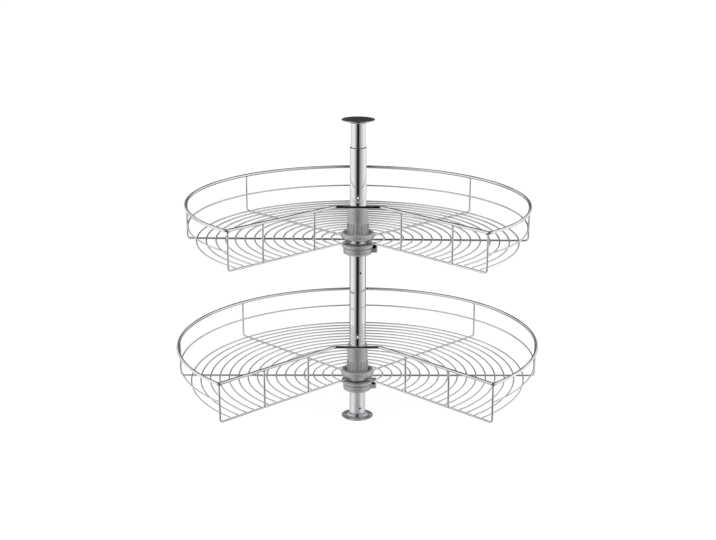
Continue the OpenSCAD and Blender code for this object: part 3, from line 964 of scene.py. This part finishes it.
@dataclass
class Hub(Tier):
    """The turning hub: steel stub, ribbed sleeve, rounded ring and the glide ring below."""

    stub_r: float = 20.25
    stub_wall: float = 1.75
    stub_low: float = 86.0
    stub_high: float = 64.0
    bore_r: float = 16.08
    sleeve_r: float = 20.0
    rib_r: float = 21.5
    rib_count: int = 20
    rib_width: float = 3.0
    rib_low: float = 62.5
    rib_high: float = 41.0
    sleeve_top: float = 8.0
    ring_r: float = 33.25
    ring_low: float = 73.0
    ring_high: float = 59.5
    cup_r: float = 23.0
    glide: float = 2.0

    def rib_shape(self, r: float, z: float, angle: float) -> float:
        """Swells the sleeve's skin where a rib stands.

        Args:
            r: radius of the plain skin.
            z: height from the rim.
            angle: degrees about the post.

        Returns:
            The skin's radius there.
        """
        drop = -z
        if r < self.sleeve_r - 0.3 or not self.rib_high - 0.6 <= drop <= self.rib_low + 0.01:
            return r
        pitch = 360 / self.rib_count
        off = abs((angle / pitch) % 1 - 0.5) * pitch
        half = degrees(self.rib_width / 2 / self.rib_r)
        side = min(1.0, max(0.0, (half + 0.75 - off) / 1.5))
        end = min(1.0, max(0.0, (drop - self.rib_high + 0.6) / 1.4))
        side, end = side * side * (3 - 2 * side), sin(end * pi / 2)
        return r + (self.rib_r - r) * side * end

    def build_sleeve(self) -> None:
        """Builds the ribbed sleeve with its spigot inside the stub."""
        spigot = self.stub_r - self.stub_wall - 0.05
        low, seat, ring = -self.stub_low, -self.stub_high, -self.ring_high
        top, high = self.sleeve_top, self.rib_high
        outline = [(self.bore_r, low + 1.4), (self.bore_r + 0.4, low + 1), (spigot - 0.4, low + 1),
                   (spigot, low + 1.4), (spigot, seat - 0.01), (21.4, seat), (21.6, seat + 0.2),
                   (21.6, ring - 1.2), (20.9, ring - 0.4), (20.6, ring + 0.1)]
        drops = [57, 54, 51, 48, 45, *(high + d for d in (1.6, 1.1, 0.8, 0.5, 0.2, -0.1, -0.4, -0.7))]
        outline += [(20.6 - 0.6 * (self.ring_high - d) / (self.ring_high - high + 1)
                     if d > high - 1 else self.sleeve_r, -d) for d in drops]
        outline += [(self.sleeve_r, -32), (self.sleeve_r, -20), (self.sleeve_r, -top - 3.0),
                    (19.85, -top - 2.1), (19.2, -top - 0.9), (18.4, -top - 0.25), (17.6, -top),
                    (17.0, -top - 0.05), (16.4, -top - 0.35), (self.bore_r, -top - 0.9)]
        pitch, half = 360 / self.rib_count, degrees(self.rib_width / 2 / self.rib_r)
        flank = (-0.75, -0.45, -0.15, 0.15, 0.45, 0.75)
        offsets = [*(-half + d for d in flank), 0, *(half + d for d in (*flank, 2.6, 4.7))]
        turns = [(i + 0.5) * pitch + o for i in range(self.rib_count) for o in offsets]
        self.seat("hub_sleeve_ribbed", lathe(outline, turns=turns, swell=self.rib_shape),
                  GREY_NYLON, "hub_plastic", "hub_sleeve", sharp=50)

    def build_ring(self) -> None:
        """Builds the rounded hub ring round the sleeve's foot, and a dark ring in its groove that
        paints shade.
        """
        r, low, high, groove = self.ring_r, self.ring_low, self.ring_high, self.rib_r + 3.1
        outline = eased([
            (self.stub_r + 0.05, -low, 0.2), (r - 7, -low, 1.4), (r - 4, -low + 0.9, 1.8),
            (r - 1.6, -low + 2.9, 2.0), (r - 0.3, -low + 5.6, 1.6), (r, -low + 7.2, 1.0),
            (r - 0.5, -high - 3.8, 1.8), (r - 2, -high - 1.4, 1.4), (r - 4.6, -high, 1.4),
            (groove + 0.4, -high, 0.5), (groove, -high - 1.0, 0.3), (groove, -self.stub_high, 0),
            (self.stub_r + 0.05, -self.stub_high, 0)], steps=4)
        self.seat("hub_ring_moulded", lathe(outline, steps=128), GREY_NYLON, "hub_plastic", "hub_ring")
        # a dark ring in the groove paints the shade between sleeve and hub ring; it stands for no real
        # part
        foot, skin = -self.stub_high + 0.05, 21.7
        shade_ring = lathe(eased([(skin, foot, 0.2), (groove - 0.1, foot, 0.2),
                            (groove - 0.1, -high - 0.7, 0.4), (skin, -high - 0.5, 0.4)], steps=3))
        self.seat("groove_shade_ring", shade_ring, DARK_NYLON, "hub_plastic")

    def build_steel(self) -> None:
        """Builds the stub that the wires are welded to, and the glide ring under it."""
        inside, foot, head = self.stub_r - self.stub_wall, -self.stub_low, -self.stub_high
        stub = lathe(eased([(self.stub_r, foot, 0.35), (self.stub_r, head, 0.3),
                            (inside, head, 0.2), (inside, foot, 0.35)], steps=3), steps=128)
        self.seat("stub_chromed", stub, TUBE_CHROME, "frame_chrome", "stub")
        low, near, wide = foot - self.glide, 16.6, self.cup_r - 0.4
        ring = lathe(eased([(near, low, 0.3), (wide, low, 0.3), (wide, low + self.glide, 0.4),
                            (near, low + self.glide, 0.4)], steps=3))
        self.seat("glide_ring_moulded", ring, WHITE_ACETAL, "glide_plastic", "glide_ring",
                  body="carrier")

    def build(self) -> None:
        """Builds every piece of the hub."""
        self.build_sleeve()
        self.build_ring()
        self.build_steel()


@dataclass
class ClampCollar(Tier):
    """The clamp collar that carries a tray: the moulding, its socket screw and its nut."""

    top: float = 82.0
    height: float = 21.2
    bore_r: float = 16.08
    cup_r: float = 23.0
    cup_floor: float = 88.0
    lip_r: float = 31.5
    band_r: float = 28.3
    ear_half: float = 8.5
    ear_reach: float = 38.0
    slot: float = 1.6
    ear_low: float = 17.4
    screw_x: float = 32.0
    screw_drop: float = 87.3
    screw_r: float = 2.0
    seat_y: float = 5.5
    nut: float = 3.2

    def body(self) -> Mesh:
        """Turns the collar's ring, with its cup, lip and two fine grooves.

        Returns:
            The ring's mesh.
        """
        top, low = -self.top, -self.top - self.height
        band, lip, cup, floor = self.band_r, self.lip_r, self.cup_r, -self.cup_floor
        return lathe(eased([
            (self.bore_r, low, 0.3), (band - 3.6, low, 1.0), (band - 1.2, low + 1.2, 1.2),
            (band, low + 3.4, 1.2), (band, top - 15.3, 0.2), (band - 0.8, top - 15.1, 0.1),
            (band - 0.8, top - 14.3, 0.1), (band, top - 14.1, 0.2), (band, top - 8.7, 0.3),
            (band - 1.6, top - 8.5, 0.15), (band - 1.6, top - 7.2, 0.15),
            (band + 0.8, top - 7.0, 0.5), (lip, top - 5.4, 0.9), (lip, top - 1, 0.8),
            (lip - 1, top, 0.6), (cup + 0.8, top, 0.3), (cup, top - 0.8, 0.3), (cup, floor, 0.2),
            (self.bore_r, floor, 0.2)], steps=4), steps=128)

    def ears(self) -> Mesh:
        """Makes the block that holds the screw, with rounded upright edges.

        Returns:
            The block's mesh.
        """
        y, low, high = self.ear_half, -self.top - self.ear_low, -self.top - 0.3
        inner = self.band_r - 4
        plan = eased([(inner, -y, 0), (self.ear_reach, -y, 2.0), (self.ear_reach, y, 2.0),
                      (inner, y, 0)], steps=5)
        return self.prism(plan, low, high, 0.7)

    @staticmethod
    def prism(plan: Sequence[Point], low: float, high: float, ease: float = 0.0) -> Mesh:
        """Stands a flat outline up as a solid.

        Args:
            plan: the outline's points.
            low: the solid's foot.
            high: its top.
            ease: how far its upper and lower edges are rounded.

        Returns:
            The solid's mesh.
        """
        bm = bmesh.new()
        cx = sum(x for x, _ in plan) / len(plan)
        cy = sum(y for _, y in plan) / len(plan)
        levels = [(low, ease), (low + ease * 0.3, ease * 0.3), (low + ease, 0), (high - ease, 0),
                  (high - ease * 0.3, ease * 0.3), (high, ease)] if ease else [(low, 0), (high, 0)]
        rings = []
        for z, inset in levels:
            ring = []
            for x, y in plan:
                away = Vector((x - cx, y - cy))
                spot = away * (1 - inset / max(away.length, 1e-6))
                ring.append(bm.verts.new((cx + spot.x, cy + spot.y, z)))
            rings.append(ring)
        for a, b in zip(rings, rings[1:]):
            for k in range(len(plan)):
                m = (k + 1) % len(plan)
                bm.faces.new((a[k], a[m], b[m], b[k]))
        bm.faces.new(list(reversed(rings[0])))
        bm.faces.new(rings[-1])
        bmesh.ops.recalc_face_normals(bm, faces=bm.faces)
        return bm

    def across(self, radius: float, y0: float, y1: float, sides: int = 48) -> Mesh:
        """Returns a plug along Y at the screw's axis, for cutting."""
        place = Matrix.Translation((self.screw_x, 0, -self.screw_drop)) @ rotate(-90, "X")
        return shift(plug(radius, y0, y1, sides), place)

    def build_body(self) -> None:
        """Builds the moulding and cuts its slot, bore, screw seat and nut seat."""
        made = make_object(f"{self.tier}_collar_moulded", self.body())
        work(made, self.ears(), Join.ADD)
        low, slot, deep = -self.top - self.height - 1, self.slot / 2, 20
        nut_r = (self.screw_r * 1.75 + 0.15) / cos(pi / 6)
        for cut in (
                plug(self.bore_r, low, 0, 128),
                plug(self.cup_r, -self.cup_floor, 0, 128),
                self.prism([(0, -slot), (self.ear_reach + 2, -slot), (self.ear_reach + 2, slot),
                            (0, slot)], low, 0),
                self.across(self.screw_r + 0.2, -12, 12),
                self.across(self.screw_r * 1.7 + 0.4, -self.seat_y - deep, -self.seat_y),
                self.across(nut_r, self.seat_y, self.seat_y + deep, 6)):
            work(made, cut, Join.CUT)
        made.data.transform(lift(self.rim_z * MM))
        fit(made, GREY_NYLON, f"{self.tier}_carrier", f"{self.tier}_collar", 32)

    def build_screw(self) -> None:
        """Builds the socket head screw and the nut at its end."""
        r, y, t = self.screw_r, self.seat_y, self.nut
        head, flats, corner = r * 1.7, r * 1.75, cos(pi / 6)
        place = Matrix.Translation((self.screw_x, 0, self.rim_z - self.screw_drop)) @ rotate(90, "X")
        length, plain, pitch = 2 * y + t + 1, 7.5, 0.7
        shank = eased([(0, y + 2 * r, 0), (head, y + 2 * r, 0.5), (head, y, 0.1),
                       (r - 0.05, y, 0), (r - 0.05, y - plain + 0.3, 0)], closed=False, steps=3)
        thread = [(r - 0.05 if k % 2 else r - 0.38, y - plain - k * pitch / 2)
                  for k in range(int((length - plain) / pitch * 2))]
        end = [(0, thread[-1][1] - 0.3)]
        screw = make_object(f"{self.tier}_clamp_screw_socket",
                            shift(lathe(shank + thread + end, steps=48, closed=False), place))
        work(screw, shift(plug(r * 0.8 / corner, y + r * 0.9, y + 2 * r + 1, 6), place), Join.CUT)
        fit(screw, BLACK_STEEL, f"{self.tier}_carrier", f"{self.tier}_clamp_screw", 30)
        nut = make_object(f"{self.tier}_clamp_nut_hex", plug(flats / corner, 0, t, 6))
        work(nut, lathe([(0, -0.2), (flats, -0.2), (flats + 0.6, 0.4), (flats + 0.6, t - 0.4),
                         (flats, t + 0.2), (0, t + 0.2)], steps=48, closed=False), Join.MEET)
        work(nut, plug(r + 0.05, -1, t + 1), Join.CUT)
        nut.data.transform(Matrix.Translation((
            self.screw_x * MM, (y + t) * MM, (self.rim_z - self.screw_drop) * MM))
            @ (rotate(90, "X") @ rotate(30, "Z")))
        fit(nut, ZINC_STEEL, f"{self.tier}_carrier", f"{self.tier}_clamp_nut", 25)

    def build(self) -> None:
        """Builds every piece of the collar."""
        self.build_body()
        self.build_screw()


# ---------------- the studio

def mirrored(tree: Tree, rays: Node) -> Node:
    """Adds a switch that is on for rays that a mirror or glass sends out, and returns it."""
    return add(tree, "Math", {"operation": "MAXIMUM"},
               {0: rays.outputs["Is Glossy Ray"], 1: rays.outputs["Is Transmission Ray"]})


@dataclass(frozen=True)
class FloorPaint(Finish):
    """A plain white sweep: white to the camera and in reflections, with a soft shadow kept."""

    paint: str = "#FFFFFF"
    lift: float = 0.04         # keeps the white clear of grey noise
    shadow_share: float = 0.22
    shadow_near: float = 0.35  # metres from the post to where the shadow starts to fade
    shadow_reach: float = 1.1  # and to where it has faded out

    def dress(self, tree: Tree) -> Node:
        """Adds the white, the shadow near the object and the ray split.

        Args:
            tree: the material's empty tree.

        Returns:
            The surface node.
        """
        rays = add(tree, "LightPath")
        white = add(tree, "Emission", {"Color": linear(self.paint), "Strength": 1.0})
        lift = add(tree, "Emission", {"Color": linear(self.paint), "Strength": self.lift})
        matt = add(tree, "BsdfDiffuse", {"Color": linear(self.paint)})
        place = add(tree, "TexCoord")
        away = add(tree, "VectorMath", {"operation": "LENGTH"}, {0: place.outputs["Object"]})
        share = add(tree, "MapRange",
                    {"interpolation_type": "SMOOTHSTEP", "From Min": self.shadow_near,
                     "From Max": self.shadow_reach, "To Min": self.shadow_share, "To Max": 0.0},
                    {"Value": away.outputs["Value"]})
        shaded = add(tree, "MixShader", {}, {0: share, 1: white, 2: matt})
        seen = add(tree, "AddShader", {}, {0: shaded, 1: lift})
        shine = mirrored(tree, rays)
        plain = add(tree, "MixShader", {}, {0: shine, 1: matt, 2: white})
        return add(tree, "MixShader", {}, {0: rays.outputs["Is Camera Ray"], 1: plain, 2: seen})


@dataclass(frozen=True)
class CardPaper(Finish):
    """A studio card that only reflections show; its tone changes round the set.

    The chrome gets the broad light and dark bands that a product studio leaves in it; cards
    under the object paint its shade instead. Each tone is an angle round the post, in degrees
    from -Y towards +X, and a grey's hex digits.
    """

    tones: tuple[tuple[float, str], ...] = ((-180, "FF"), (180, "FF"))

    def dress(self, tree: Tree) -> Node:
        """Adds a ramp over the angle round the post, from -Y and growing towards +X.

        Args:
            tree: the material's empty tree.

        Returns:
            The surface node.
        """
        spot = add(tree, "NewGeometry").outputs["Position"]
        split = add(tree, "SeparateXYZ", {}, {0: spot})
        flip = add(tree, "Math", {"operation": "MULTIPLY", 1: -1.0}, {0: split.outputs["Y"]})
        angle = add(tree, "Math", {"operation": "ARCTAN2"}, {0: split.outputs["X"], 1: flip})
        share = span(tree, angle, (-pi, pi))
        ramp = add(tree, "ValToRGB", {}, {0: share})
        stops = ramp.color_ramp.elements
        stops.remove(stops[-1])
        stops[0].color = linear(f"#{self.tones[0][1] * 3}")
        for place, grey in self.tones[1:]:
            stops.new((place + 180) / 360).color = linear(f"#{grey * 3}")
        return add(tree, "Emission", {"Strength": 1.0}, {"Color": ramp})


@dataclass
class Studio:
    """Floor, soft light, cards and the camera."""

    floor_size: float = 40.0
    fill: float = 0.62         # soft light that comes to matt surfaces from all round
    lens: float = 71.184
    down: float = 15.9745      # degrees that the camera looks down, stands aside and is rolled
    aside: float = 0.1403
    roll: float = 0.2062
    distance: float = 2.76918  # metres from the camera to the spot that it looks at
    spot: Corner = (0.00047, 0, 0.30418)

    def build_floor(self) -> None:
        """Lays the white floor."""
        bm = bmesh.new()
        bmesh.ops.create_grid(bm, x_segments=8, y_segments=8, size=self.floor_size / 2 / MM)
        floor = make_object("studio_floor", bm)
        floor.data.materials.append(FloorPaint("white_sweep").material())

    def card(self, name: str, outline: Sequence[Point], finish: Finish) -> None:
        """Sets up a round card that only reflections show.

        Args:
            name: the card's name.
            outline: (distance from the post, height) points in millimetres.
            finish: its tone.
        """
        card = make_object(name, lathe(outline, closed=False))
        card.data.materials.append(finish.material())
        card.visible_camera = card.visible_diffuse = card.visible_shadow = False
        card.visible_transmission = card.visible_volume_scatter = False

    def build_cards(self) -> None:
        """Sets up what the chrome sees: tall soft boxes to both sides of a dark room, painted shade
        below.
        """
        low, eaves, far = 0.5, 6700, 12000
        bands = {
            # the two grey cards under the carousel paint the shade that it casts on the floor, as the
            # chrome sees it
            "shade_under_card": ([(20, low), (220, low)], (
                (-180, "F8"), (-165, "EA"), (-145, "D0"), (-90, "DC"), (-60, "F2"), (-32, "CC"),
                (-18, "A8"), (18, "A2"), (32, "BA"), (50, "E6"), (80, "E2"), (120, "CE"),
                (150, "DA"), (180, "F8"))),
            "shade_under_edge_card": ([(220, low), (340, low)], (
                (-180, "C0"), (-165, "E8"), (-130, "BC"), (-75, "CE"), (-45, "A8"), (-15, "8A"),
                (5, "94"), (20, "B0"), (45, "B2"), (70, "E8"), (100, "FA"), (130, "D4"),
                (165, "F2"), (180, "C0"))),
            "ground_card": ([(340, low), (1400, low)], (
                (-180, "00"), (-152, "10"), (-130, "AA"), (-110, "FA"), (-85, "FA"), (-60, "F0"),
                (-45, "D6"), (-29, "9E"), (-19, "68"), (-10, "1C"), (5, "10"), (12, "3E"),
                (20, "82"), (36, "B2"), (54, "CC"), (72, "E0"), (90, "FA"), (110, "FA"),
                (130, "CA"), (152, "18"), (180, "00"))),
            "wall_card": ([(1400, low), (far, low), (far, eaves)], (
                (-180, "40"), (-169, "7A"), (-160, "C0"), (-152, "E0"), (-130, "D8"), (-110, "FA"),
                (-60, "F6"), (-45, "D6"), (-29, "9A"), (-19, "68"), (-10, "20"), (5, "10"),
                (12, "3A"), (20, "7C"), (36, "B2"), (54, "CC"), (72, "E2"), (92, "FC"),
                (112, "FA"), (130, "EA"), (152, "E0"), (160, "C0"), (169, "7A"), (180, "40"))),
            "back_card": ([(far, eaves), (far, far)], (
                (-180, "18"), (-153, "10"), (-143, "B4"), (-128, "EA"), (-105, "D2"), (-80, "F4"),
                (-55, "DE"), (-25, "C8"), (-14, "B0"), (-8, "0C"), (8, "0C"), (14, "B0"),
                (24, "C8"), (50, "DA"), (85, "F4"), (110, "DA"), (128, "EA"), (143, "B4"),
                (153, "10"), (180, "18"))),
            "ceiling_card": ([(far, far), (0, far)], (
                (-180, "10"), (-168, "10"), (-158, "30"), (-124, "40"), (-106, "B0"), (-70, "F0"),
                (-40, "A8"), (-18, "80"), (-11, "10"), (11, "10"), (18, "80"), (40, "B8"),
                (70, "F0"), (106, "B0"), (124, "40"), (158, "30"), (168, "10"), (180, "10"))),
        }
        for name, (outline, tones) in bands.items():
            self.card(name, outline, CardPaper(f"{name}_paper", tones))

    def build_world(self) -> None:
        """Makes the surroundings: white to camera and reflections, plain soft light besides."""
        world = bpy.data.worlds.new("studio")
        bpy.context.scene.world = world
        world.use_nodes = True
        tree = world.node_tree
        tree.nodes.clear()
        rays = add(tree, "LightPath")
        shine = mirrored(tree, rays)
        seen = add(tree, "Math", {"operation": "MAXIMUM"}, {0: rays.outputs["Is Camera Ray"], 1: shine})
        soft = add(tree, "Background", {"Color": linear("#FFFFFF"), "Strength": self.fill})
        white = add(tree, "Background", {"Color": linear("#FFFFFF"), "Strength": 1.0})
        mix = add(tree, "MixShader", {}, {0: seen, 1: soft, 2: white})
        add(tree, "OutputWorld", {}, {"Surface": mix})

    def lamp(self, name: str, place: tuple[float, float, float], size: float, power: float) -> None:
        """Hangs a soft square lamp that looks at the middle of the object.

        Args:
            name: the lamp's name.
            place: where it hangs, in metres.
            size: its side in metres.
            power: its power in watts.
        """
        light = bpy.data.lights.new(name, "AREA")
        light.shape, light.size, light.energy = "SQUARE", size, power
        lamp = bpy.data.objects.new(name, light)
        bpy.context.scene.collection.objects.link(lamp)
        lamp.location = place
        aim = Vector((0, 0, 0.3)) - Vector(place)
        lamp.rotation_mode = "QUATERNION"
        lamp.rotation_quaternion = aim.to_track_quat("-Z", "Y")
        lamp.visible_glossy = lamp.visible_camera = False

    def build_lamps(self) -> None:
        """Hangs one soft lamp overhead and one to each side."""
        self.lamp("overhead_softbox", (0.0, -0.5, 2.6), size=2.4, power=32.0)
        for name, side in (("left_softbox", -2.4), ("right_softbox", 2.4)):
            self.lamp(name, (side, -1.2, 1.4), size=1.6, power=22.0)

    def build_camera(self) -> None:
        """Places the camera as the photograph's, found from the rims and the post."""
        camera = bpy.data.cameras.new("camera")
        camera.lens, camera.sensor_width, camera.sensor_fit = self.lens, 36.0, "HORIZONTAL"
        camera.clip_start, camera.clip_end = 0.1, 60.0
        made = bpy.data.objects.new("camera", camera)
        bpy.context.scene.collection.objects.link(made)
        down, aside, roll = (radians(a) for a in (self.down, self.aside, self.roll))
        head = Vector((-sin(aside) * cos(down), cos(aside) * cos(down), -sin(down)))
        right = head.cross(Vector((0, 0, 1))).normalized()
        over = right.cross(head)
        x = right * cos(roll) + over * sin(roll)
        y = over * cos(roll) - right * sin(roll)
        turn = Matrix((x, y, -head)).transposed().to_4x4()
        made.matrix_world = Matrix.Translation(Vector(self.spot) - head * self.distance) @ turn
        bpy.context.scene.camera = made

    def build(self) -> None:
        """Builds the whole studio."""
        self.build_camera()
        self.build_floor()
        self.build_world()
        self.build_cards()
        self.build_lamps()
        bpy.context.scene.view_settings.view_transform = "Standard"


def main() -> None:
    """Builds the studio and the carousel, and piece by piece."""
    logging.basicConfig(level=logging.INFO, format="%(message)s")
    Studio().build()
    Post().build()
    upper = WireTray("upper", rim_z=441.0, rim_r=331.0, guard_drop=40.4, ring_count=15,
                     first_ring_r=51.3, ring_inset=19.3, inner_upright=115.2, corner_inset=4.0,
                     lean=-0.22, turned=0.04)
    lower = WireTray("lower", rim_z=160.0, rim_r=353.0, guard_drop=37.2, ring_count=16,
                     first_ring_r=50.4, ring_inset=23.7, inner_upright=132.4, corner_inset=1.0,
                     lean=0.33, turned=-0.34)
    for tray in (upper, lower):
        tray.build()
        Hub(tray.tier, tray.rim_z).build()
        ClampCollar(tray.tier, tray.rim_z).build()


if __name__ == "__main__":
    main()
